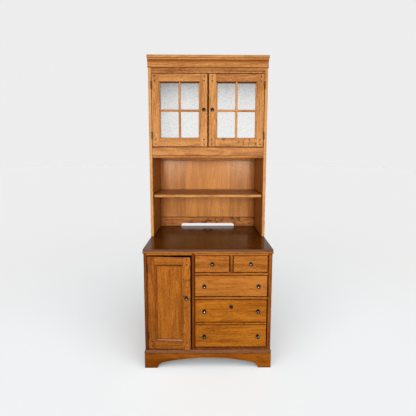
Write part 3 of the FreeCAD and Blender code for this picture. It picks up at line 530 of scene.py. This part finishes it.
# Painted sheen: pale pinkish grey for the base top's edge faces
top_edge_sheen_tones = ((0.21, 0.096, 0.060, 1), (0.155, 0.07, 0.044, 1), (0.05, 0.014, 0.004, 1))
veneer_tones = ((0.90, 0.385, 0.098, 1), (0.50, 0.175, 0.034, 1), (0.2, 0.06, 0.014, 1))
# Painted shade for grooves and for the sticking under door top rails
painted_shade_tones = ((0.20, 0.058, 0.009, 1), (0.11, 0.028, 0.004, 1), (0.03, 0.008, 0.002, 1))
# Painted shadow: near-black wood for the cupboard door's top edge
painted_shadow_tones = ((0.05, 0.014, 0.002, 1), (0.03, 0.008, 0.001, 1), (0.01, 0.003, 0.001, 1))
false_rail_tones = ((0.74, 0.245, 0.024, 1), (0.36, 0.095, 0.007, 1), (0.05, 0.012, 0.001, 1))
# Painted shade: the base top's oak, darkened as an upward face away from the frontal light
painted_shade_top_tones = ((0.125, 0.034, 0.001, 1), (0.07, 0.018, 0.0005, 1), (0.02, 0.005, 0.0003, 1))
pale_tones = ((0.66, 0.44, 0.21, 1), (0.5, 0.3, 0.13, 1), (0.3, 0.17, 0.07, 1))

honey = oak("honey_oak", *honey_tones, streaks=0.55, patches=0.65, edge_dark=0.7, reach=HONEY_EDGE_DARK)
# Crown oak: painted shade in its cove and along its foot
crown_oak = oak("crown_oak", *honey_tones, streaks=0.5, gloss=0.08, cove_shade_colour=CROWN_SHADE_COLOUR)
# Painted shade on the inward faces of the hutch sides
inner_shade_oak = oak("inner_shade_oak", *inner_shade_tones)
amber = oak("amber_oak", *amber_tones, streaks=0.65, patches=0.6, gloss=0.1)
plinth_oak = oak("plinth_oak", *plinth_tones, patches=0.8, gloss=0.08, ends=-0.75)
drawer_oak = oak("drawer_oak", *drawer_tones, streaks=0.48, patches=0.7, gloss=0.1, edge_dark=0.2)
golden = oak("golden_oak", *golden_tones, streaks=0.48, patches=0.7, gloss=0.1, edge_dark=0.2)
russet = oak("russet_oak", *russet_tones, gloss=0.1, edge_dark=0.95, reach=WIDE_EDGE_DARK)
# Base moulding oak, its pinkish grey partly a painted sheen
moulding_with_sheen = oak("moulding_sheen_oak", *moulding_sheen_tones, streaks=0.8, patches=0.9, edge_dark=0.85, reach=WIDE_EDGE_DARK)
# Painted shade on the shelves' tops
shelf_top_shade_oak = oak("shelf_top_shade_oak", *shelf_top_shade_tones)
# Painted sheen on the base top's edge faces
top_edge_sheen = oak("top_edge_sheen_oak", *top_edge_sheen_tones)
veneer = oak("oak_veneer", *veneer_tones, rings=0.3, streaks=0.45, patches=0.55, rough=0.24, gloss=0.4,
             edge_dark=0.3)
# Painted shade in the file drawer's grooves and under door top rails
painted_shade_oak = oak("painted_shade_oak", *painted_shade_tones, gloss=0.05)
# Painted shadow on the cupboard door's top edge
painted_shadow_oak = oak("painted_shadow_oak", *painted_shadow_tones, rough=0.8, gloss=0)
false_rail_oak = oak("false_rail_oak", *false_rail_tones, gloss=0.1, edge_dark=0.1, curly=0.8)
# Painted shade on the base top
painted_shade_top = oak("shaded_oak_top", *painted_shade_top_tones, rough=0.1, gloss=0.16, edge_dark=0.3)
pale_wood = oak("drawer_wood", *pale_tones, rough=0.5, gloss=0.3, edge_dark=0.1)
peg_wood = plain_wood("peg_wood", (0.06, 0.02, 0.006, 1), (0.02, 0.008, 0.003, 1))
pewter = metal("dark_pewter", (0.016, 0.014, 0.012, 1), (0.035, 0.031, 0.027, 1), 0.15)
bronze = metal("dark_hinge", (0.02, 0.015, 0.011, 1), (0.05, 0.036, 0.026, 1), 0.4)
steel = metal("steel", (0.45, 0.45, 0.45, 1), (0.6, 0.6, 0.6, 1), 0.3)
black_plastic = plastic("black_plastic", (0.006, 0.005, 0.004, 1), (0.012, 0.010, 0.008, 1), 0.8)
brown_plastic = plastic("dark_plastic", (0.008, 0.005, 0.003, 1), (0.22, 0.11, 0.06, 1), 0.8)
glass = pebbled_glass("obscure_glass")


# Wooden pieces made from the frame's solids


def closed_runs(mesh):
    """Lists of polygons, one for each closed solid in a node's mesh."""
    places = [tuple(round(c, PLACE_DIGITS) for c in vertex.co) for vertex in mesh.vertices]
    open_edges = set()
    run = []
    for polygon in mesh.polygons:
        run.append(polygon)
        corners = [places[index] for index in polygon.vertices]
        for start, end in zip(corners, corners[1:] + corners[:1]):
            open_edges ^= {(min(start, end), max(start, end))}
        if not open_edges:
            yield run
            run = []


def solid_bmesh(mesh, polygons):
    """One solid as a welded bmesh with its flat faces whole."""
    bm = bmesh.new()
    made = {}
    for polygon in polygons:
        corners = []
        for index in polygon.vertices:
            if index not in made:
                made[index] = bm.verts.new(mesh.vertices[index].co)
            corners.append(made[index])
        bm.faces.new(corners)
    bmesh.ops.remove_doubles(bm, verts=bm.verts[:], dist=WELD)
    bmesh.ops.dissolve_limit(bm, angle_limit=FLAT_ANGLE, verts=bm.verts[:], edges=bm.edges[:])
    return bm


def ease_edges(bm, width):
    """Round the long sharp outer edges."""
    sharp = [edge for edge in bm.edges
             if edge.is_manifold and edge.is_convex and edge.calc_length() > LONG_EDGE
             and edge.calc_face_angle() > SHARP_ANGLE]
    bmesh.ops.bevel(bm, geom=sharp, offset=width, segments=2, profile=0.5, affect="EDGES",
                    clamp_overlap=True)


def split_into_leaves(bm, leaf):
    """Cut a wide panel at upright seams, one veneer leaf apart."""
    xs = [vertex.co.x for vertex in bm.verts]
    seam = leaf * math.ceil(min(xs) / leaf)
    while seam < max(xs):
        bmesh.ops.bisect_plane(bm, geom=bm.verts[:] + bm.edges[:] + bm.faces[:],
                               plane_co=(seam, 0, 0), plane_no=(1, 0, 0))
        seam += leaf


def lay_grain(bm, chance, leaf, own_tone, own_fleck, own_curl, own_gap_shade):
    """Give each board its grain: along its length, with its own place in the log and its own tone."""
    grain = bm.loops.layers.float_vector.new("grain")
    place = bm.loops.layers.float_vector.new("place")
    half = bm.faces.layers.float_vector.new("half")
    board = bm.faces.layers.float.new("board")
    fleck = bm.faces.layers.float.new("fleck")
    curl = bm.faces.layers.float.new("curl")
    rim = bm.faces.layers.float.new("rim")
    lows = [min(vertex.co[axis] for vertex in bm.verts) for axis in range(3)]
    highs = [max(vertex.co[axis] for vertex in bm.verts) for axis in range(3)]
    lengths = [high - low for low, high in zip(lows, highs)]
    order = LEAF_AXES if leaf else sorted(range(3), key=lambda axis: -lengths[axis])
    middle = [(low + high) / 2 for low, high in zip(lows, highs)]
    boards = {}
    for face in bm.faces:
        number = math.floor(face.calc_center_median().x / leaf) if leaf else 0
        if number not in boards:
            shift = Vector((chance.uniform(-LOG_ALONG, LOG_ALONG),
                            chance.uniform(-LOG_ACROSS, LOG_ACROSS),
                            chance.uniform(*LOG_DEPTH)))
            boards[number] = (shift, tones_of_leaves.get(number, 0.0) if leaf else chance.uniform(-1, 1))
        shift, tone = boards[number]
        face[board] = tone if own_tone is None else own_tone
        face[fleck] = own_fleck
        face[curl] = own_curl
        # Edge faces of doors and drawer fronts take painted shade, darkening the gaps
        face[rim] = own_gap_shade if abs(face.normal[order[2]]) < SIDEWAYS_NORMAL else 0.0
        face[half] = [lengths[axis] / 2 for axis in order]
        for loop in face.loops:
            offset = Vector([loop.vert.co[axis] - middle[axis] for axis in order])
            loop[place] = offset
            loop[grain] = offset + shift


def dress(node, material, ease=EASE, leaf=None, inlays=()):
    """Eased, grained wood in place of a node of boards; inlays are (test of a face, its other wood),
    several of them painted shade, light or sheen.
    """
    source = nodes[node].data
    chance = random.Random(node)
    whole = bmesh.new()
    solids = list(closed_runs(source))
    tones = tones_of_boards.get(node, (None,) * len(solids))
    flecks = flecks_of_boards.get(node, (0.0,) * len(solids))
    curls = curls_of_boards.get(node, (0.0,) * len(solids))
    # Painted gap shade on the edge faces of doors and drawer fronts
    rim = GAP_SHADE if node in gap_shaded else 0.0
    for number, polygons in enumerate(solids):
        bm = solid_bmesh(source, polygons)
        if leaf:
            split_into_leaves(bm, leaf)
        ease_edges(bm, ease)
        lay_grain(bm, chance, leaf, tones[number], flecks[number], curls[number], rim)
        step = bpy.data.meshes.new("step")
        bm.to_mesh(step)
        bm.free()
        whole.from_mesh(step)
        bpy.data.meshes.remove(step)
    for face in whole.faces:
        face.smooth = True
    for edge in whole.edges:
        edge.smooth = edge.is_manifold and edge.calc_face_angle() < SHARP_ANGLE
    mesh = bpy.data.meshes.new(node + "_wood")
    whole.to_mesh(mesh)
    whole.free()
    mesh.materials.append(material)
    for number, (belongs, other) in enumerate(inlays, start=1):
        mesh.materials.append(other)
        for polygon in mesh.polygons:
            if belongs(polygon):
                polygon.material_index = number
    piece = bpy.data.objects.new(node + "_wood", mesh)
    bpy.context.scene.collection.objects.link(piece)
    weighted = piece.modifiers.new("even_shading", "WEIGHTED_NORMAL")
    weighted.keep_sharp = True
    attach(piece, nodes[node]["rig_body"])
    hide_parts(node)
    return piece


slot_of = {part["node"]: part["material_slot"] for part in frame["record"]["subparts"]}
wood_of_slot = {
    "honey_oak": honey,
    "amber_oak": amber,
    "oak_veneer": veneer,
    # The base top's slot takes painted shade
    "oak_top": painted_shade_top,
    "drawer_wood": pale_wood,
}
# Leaves away from the middle run darker: partly painted shade towards the bay's sides
tones_of_leaves = {-3: 1.8, -2: 1.5, -1: -0.1, 0: -0.8, 1: 1.3, 2: 1.8}
tones_of_boards = {
    "crown_moulding": (-0.2, -0.2, -0.2),
    "hutch_frieze": (0.9,),
    "hutch_lower_rail": (0.9,),
    "hutch_sides": (-1.5, -1.5),
    "adjustable_shelves": (-1.0, 0.0, 0.0),
    "hutch_back_rails": (1.3, 0.0),
    "left_glass_door_frame": (0.2, 0.0, 0.0, 0.0),
    "right_glass_door_frame": (-0.3, 0.0, 0.9, -0.2),
    "face_frame_stiles": (2.2, 1.9, 0.8, 0.4),
    "face_frame_rails": (0.6, -2.0, 1.2, -2.0, -0.9, -0.9),
    "cupboard_door_frame": (1.3, -0.1, 0.8, 1.2),
    "cupboard_door_panel": (0.0,),
    "small_left_drawer_front": (0.7,),
    "small_right_drawer_front": (1.0,),
    "wide_drawer_front": (-1.0,),
    "file_drawer_front": (-0.2,),
    "plinth_boards": (0.0, 0.0, 0.0, 0.0),
}
flecks_of_boards = {
    "small_left_drawer_front": (0.75,),
    "small_right_drawer_front": (0.75,),
}
curls_of_boards = {
    "cupboard_door_frame": (0.1, 1.0, 0.2, 0.2),
    "hutch_back_rails": (1.4, 0.0),
    "left_glass_door_frame": (0.25, 0.15, 0.1, 0.1),
    "right_glass_door_frame": (0.15, 0.25, 0.1, 1.0),
    "hutch_frieze": (0.7,),
    "file_drawer_front": (0.3,),
}
# Doors and drawer fronts whose edge faces take painted shade, darkening the gaps round them
gap_shaded = ("left_glass_door_frame", "right_glass_door_frame", "cupboard_door_frame",
               "small_left_drawer_front", "small_right_drawer_front", "wide_drawer_front",
               "file_drawer_front")
wood_of_node = {
    "face_frame_stiles": russet,
    "face_frame_rails": russet,
    # Base moulding: partly a painted sheen
    "base_moulding": moulding_with_sheen,
    "plinth_boards": plinth_oak,
    "crown_moulding": crown_oak,
    "small_left_drawer_front": drawer_oak,
    "small_right_drawer_front": drawer_oak,
    "wide_drawer_front": drawer_oak,
    "file_drawer_front": golden,
}
metal_of_slot = {
    "dark_pewter": pewter,
    "dark_hinge": bronze,
    "steel": steel,
    "dark_plastic": brown_plastic,
}


def faces_inward(polygon):
    return polygon.normal.x * polygon.center.x < -INNER_FACE


def faces_up(polygon):
    return polygon.normal.z > LEVEL_NORMAL


def faces_sideways(polygon):
    return abs(polygon.normal.z) < LEVEL_NORMAL


def within(node, height):
    """Test for faces within a height of the node's foot."""
    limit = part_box(node)[0].z + height
    return lambda polygon: polygon.center.z < limit


def near_top(node, depth):
    """Test for faces within a depth of the node's top."""
    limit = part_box(node)[1].z - depth
    return lambda polygon: polygon.center.z > limit


def round_middle(node, half):
    """Test for faces near the node's middle height."""
    low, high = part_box(node)
    middle = (low.z + high.z) / 2
    return lambda polygon: abs(polygon.center.z - middle) < half


def under_top_rail(node):
    """Test for the sticking under a door's top rail."""
    low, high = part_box(node)
    middle = (low.z + high.z) / 2
    return lambda polygon: polygon.normal.z < UNDERCUT_NORMAL and polygon.center.z > middle


inlays_of_node = {
    # Painted sheen on the top's edge faces
    "base_top": [(faces_sideways, top_edge_sheen), (within("base_top", TOP_BEAD), russet)],
    # Painted light: paler oak on the top rail, against the shade under the top's overhang
    "face_frame_rails": [(near_top("face_frame_rails", TOP_RAIL), drawer_oak)],
    # Painted shade on the inward faces
    "hutch_sides": [(faces_inward, inner_shade_oak)],
    # Painted shade on the shelves' tops
    "adjustable_shelves": [(faces_up, shelf_top_shade_oak)],
    # Painted shade in the grooves round the false rail
    "file_drawer_front": [(round_middle("file_drawer_front", GROOVE_HALF), painted_shade_oak),
                          (round_middle("file_drawer_front", FALSE_RAIL_HALF), false_rail_oak)],
    # Painted shade on the sticking under the top rail
    "cupboard_door_frame": [(under_top_rail("cupboard_door_frame"), painted_shade_oak),
                            # Painted shadow on the door's top edge, standing for the dark gap above it
                            (near_top("cupboard_door_frame", EDGE_BAND), painted_shadow_oak)],
    # Painted shade on the sticking under the glass doors' top rails
    "left_glass_door_frame": [(under_top_rail("left_glass_door_frame"), painted_shade_oak)],
    "right_glass_door_frame": [(under_top_rail("right_glass_door_frame"), painted_shade_oak)],
}
shiny_nodes = ("base_moulding", "cupboard_door_frame")


def dress_all_wood():
    """Dress every wooden node; returns the pieces that shine under the glint."""
    shiny = []
    for node, slot in slot_of.items():
        if slot not in wood_of_slot:
            continue
        material = wood_of_node.get(node, wood_of_slot[slot])
        if node.endswith("_pegs"):
            nodes[node].data.materials.clear()
            nodes[node].data.materials.append(peg_wood)
        elif slot == "oak_veneer":
            dress(node, material, leaf=VENEER_LEAF)
        else:
            piece = dress(node, material, inlays=inlays_of_node.get(node, ()))
            if node in shiny_nodes:
                shiny.append(piece)
    return shiny


def finish_hardware():
    for node, slot in slot_of.items():
        if slot in metal_of_slot:
            finish = black_plastic if node == "door_catches" else metal_of_slot[slot]
            nodes[node].data.materials.clear()
            nodes[node].data.materials.append(finish)


# Pebbled glass


def pebble(x, z):
    """Depth of the pebbled surface below the pane's face, from 0 to 1."""
    place = Vector((x / PEBBLE_SIZE, z / PEBBLE_SIZE, 0.0))
    near, second = noise.voronoi(place)[0][:2]
    return 1.0 - min(1.0, PEBBLE_STEEPNESS * (second - near))


def glass_pane(node):
    """Pane with a pebbled front, inside the CAD pane's own box."""
    low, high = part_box(node)
    columns = round((high.x - low.x) / PEBBLE_GRID)
    rows = round((high.z - low.z) / PEBBLE_GRID)
    bm = bmesh.new()
    hollow = bm.verts.layers.float.new("hollow")
    grid = []
    for row in range(rows + 1):
        z = low.z + (high.z - low.z) * row / rows
        line = []
        for column in range(columns + 1):
            x = low.x + (high.x - low.x) * column / columns
            depth = pebble(x, z)
            corner = bm.verts.new((x, low.y + PEBBLE_DEPTH * depth, z))
            corner[hollow] = depth
            line.append(corner)
        grid.append(line)
    for row in range(rows):
        for column in range(columns):
            bm.faces.new((grid[row][column], grid[row][column + 1],
                          grid[row + 1][column + 1], grid[row + 1][column]))
    rim = [edge for edge in bm.edges if edge.is_boundary]
    made = bmesh.ops.extrude_edge_only(bm, edges=rim)["geom"]
    back = [item for item in made if isinstance(item, bmesh.types.BMVert)]
    for vertex in back:
        vertex.co.y = high.y
        vertex[hollow] = 0.0
    back_rim = [item for item in made if isinstance(item, bmesh.types.BMEdge) and item.is_boundary]
    bmesh.ops.contextual_create(bm, geom=back_rim)
    bmesh.ops.recalc_face_normals(bm, faces=bm.faces[:])
    for face in bm.faces:
        face.smooth = abs(face.normal.y) > SIDEWAYS_NORMAL and len(face.verts) == 4
    mesh = bpy.data.meshes.new(node + "_pebbled")
    bm.to_mesh(mesh)
    bm.free()
    mesh.materials.append(glass)
    piece = bpy.data.objects.new(node + "_pebbled", mesh)
    bpy.context.scene.collection.objects.link(piece)
    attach(piece, nodes[node]["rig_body"])
    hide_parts(node)


# Stage, light and camera


def seen_directly(tree):
    """1 for camera, glossy and transmission rays, else 0."""
    path = add_node(tree, "ShaderNodeLightPath")
    either = maths(tree, "MAXIMUM", path.outputs["Is Camera Ray"], path.outputs["Is Glossy Ray"])
    return maths(tree, "MAXIMUM", either, path.outputs["Is Transmission Ray"])


def sky():
    """Soft light all round; the backdrop is pale, and reflections also show a dimmer room in front."""
    world = bpy.data.worlds.new("studio")
    bpy.context.scene.world = world
    world.use_nodes = True
    tree = world.node_tree
    tree.nodes.clear()
    toward = add_node(tree, "ShaderNodeTexCoord").outputs["Generated"]
    _, forward, upward = separated(tree, toward)
    overhead = smooth_range(tree, upward, 0.0, 1.0)
    level = maths(tree, "MULTIPLY_ADD", overhead, SKY_TOP - SKY_SIDE, SKY_SIDE)
    room = smooth_range(tree, maths(tree, "MULTIPLY", forward, -1.0), *FRONT_ROOM_EDGE)
    glossy = add_node(tree, "ShaderNodeLightPath").outputs["Is Glossy Ray"]
    mirrored = maths(tree, "MULTIPLY", room, glossy)
    dim = maths(tree, "MULTIPLY", mirrored, FRONT_ROOM_LEVEL - BACKDROP_LEVEL)
    light = add_node(tree, "ShaderNodeBackground", {"Color": (1, 1, 1, 1), "Strength": level})
    shown = add_node(tree, "ShaderNodeBackground",
                     {"Color": (1, 1, 1, 1), "Strength": maths(tree, "ADD", dim, BACKDROP_LEVEL)})
    mix = add_node(tree, "ShaderNodeMixShader",
                   {0: seen_directly(tree), 1: light.outputs[0], 2: shown.outputs[0]})
    add_node(tree, "ShaderNodeOutputWorld", {"Surface": mix.outputs[0]})


def floor():
    """Pale disc that takes a soft shadow; it glows a little where it is seen, more so near the object."""
    material, tree, output = new_material("pale_floor")
    place = add_node(tree, "ShaderNodeTexCoord").outputs["Object"]
    away = add_node(tree, "ShaderNodeVectorMath", {0: place}, operation="LENGTH").outputs[1]
    spread = smooth_range(tree, away, FLOOR_NEAR_RADIUS, FLOOR_FAR_RADIUS)
    glow = maths(tree, "MULTIPLY_ADD", spread, FLOOR_FAR_GLOW - FLOOR_NEAR_GLOW, FLOOR_NEAR_GLOW)
    seen = seen_directly(tree)
    shown = mixed(tree, spread, FLOOR_NEAR_SEEN, FLOOR_SEEN)
    matt = add_node(tree, "ShaderNodeBsdfDiffuse", {"Color": mixed(tree, seen, FLOOR_BOUNCE, shown)})
    lit = add_node(tree, "ShaderNodeEmission",
                   {"Color": (1, 1, 1, 1), "Strength": maths(tree, "MULTIPLY", glow, seen)})
    both = add_node(tree, "ShaderNodeAddShader", {0: matt.outputs[0], 1: lit.outputs[0]})
    finish_material(tree, output, both)
    bm = bmesh.new()
    bmesh.ops.create_circle(bm, cap_ends=True, segments=FLOOR_SIDES, radius=FLOOR_RADIUS)
    mesh = bpy.data.meshes.new("floor")
    bm.to_mesh(mesh)
    bm.free()
    mesh.materials.append(material)
    disc = bpy.data.objects.new("floor", mesh)
    bpy.context.scene.collection.objects.link(disc)
    return disc


def shine_on(lamp, things, state):
    """Keep a lamp on some things alone, or off them."""
    group = bpy.data.collections.new(lamp.name + "_reach")
    for number, thing in enumerate(things):
        group.objects.link(thing)
        group.collection_objects[number].light_linking.link_state = state
    lamp.light_linking.receiver_collection = group


def add_lamp(name, data, place, target):
    lamp = bpy.data.objects.new(name, data)
    lamp.location = place
    lamp.rotation_euler = (target - place).to_track_quat("-Z", "Y").to_euler()
    lamp.visible_camera = False
    bpy.context.scene.collection.objects.link(lamp)
    return lamp


def area_light(name, place, target, size, power):
    data = bpy.data.lights.new(name, "AREA")
    data.shape = "RECTANGLE"
    data.size = size[0]
    data.size_y = size[1]
    data.energy = power
    return add_lamp(name, data, place, target)


def lights(disc, shiny):
    """Lamps beside the camera and behind the sides, and lights for shiny wood, floor or knobs alone."""
    knobs = [nodes[node] for node, slot in slot_of.items() if slot == "dark_pewter"]
    lamps = []
    for name, side in (("left", -1), ("right", 1)):
        place = Vector((side * KEY_PLACE.x, KEY_PLACE.y, KEY_PLACE.z))
        lamps.append(area_light("key_" + name, place, KEY_TARGET, KEY_SIZE, KEY_POWER))
        place = Vector((side * SIDE_PLACE.x, SIDE_PLACE.y, SIDE_PLACE.z))
        lamps.append(area_light("side_" + name, place, KEY_TARGET, (SIDE_SIZE, SIDE_SIZE), SIDE_POWER))
        lamps[-1].visible_glossy = False
    for lamp in lamps:
        shine_on(lamp, [disc] + knobs, "EXCLUDE")
    glint = area_light("glint", GLINT_PLACE, KEY_TARGET, GLINT_SIZE, GLINT_POWER)
    glint.visible_diffuse = False
    shine_on(glint, shiny, "INCLUDE")
    overhead = bpy.data.lights.new("overhead", "SUN")
    overhead.energy = FLOOR_LIGHT
    overhead.angle = FLOOR_LIGHT_ANGLE
    shine_on(add_lamp("overhead", overhead, FLOOR_LIGHT_PLACE, Vector((0, 0, 0))), [disc], "INCLUDE")
    card = area_light("card", CARD_PLACE, KEY_TARGET, (CARD_SIZE, CARD_SIZE), CARD_POWER)
    shine_on(card, [knob for knob in knobs if "lock" not in knob.name], "INCLUDE")


def camera():
    face_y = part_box("face_frame_stiles")[0].y
    ahead = Vector((math.sin(CAMERA_YAW) * math.cos(CAMERA_PITCH),
                    math.cos(CAMERA_YAW) * math.cos(CAMERA_PITCH),
                    -math.sin(CAMERA_PITCH)))
    level = Vector((math.cos(CAMERA_YAW), -math.sin(CAMERA_YAW), 0.0))
    upright = level.cross(ahead)
    right = math.cos(CAMERA_ROLL) * level + math.sin(CAMERA_ROLL) * upright
    up = math.cos(CAMERA_ROLL) * upright - math.sin(CAMERA_ROLL) * level
    data = bpy.data.cameras.new("camera")
    data.sensor_width = SENSOR_MM
    data.lens = FOCAL_PIXELS / FRAME_PIXELS * SENSOR_MM
    data.shift_y = (CENTRE_ROW - FRAME_PIXELS / 2) / FRAME_PIXELS
    eye = bpy.data.objects.new("camera", data)
    turn = Matrix((right, up, -ahead)).transposed().to_4x4()
    eye.matrix_world = Matrix.Translation((CAMERA_X, face_y - CAMERA_BEFORE_FACE, CAMERA_Z)) @ turn
    bpy.context.scene.collection.objects.link(eye)
    bpy.context.scene.camera = eye


shiny_pieces = dress_all_wood()
finish_hardware()
for door in ("left_glass_door", "right_glass_door"):
    glass_pane(door + "_glass")
sky()
lights(floor(), shiny_pieces)
camera()
bpy.context.scene.view_settings.view_transform = "Standard"
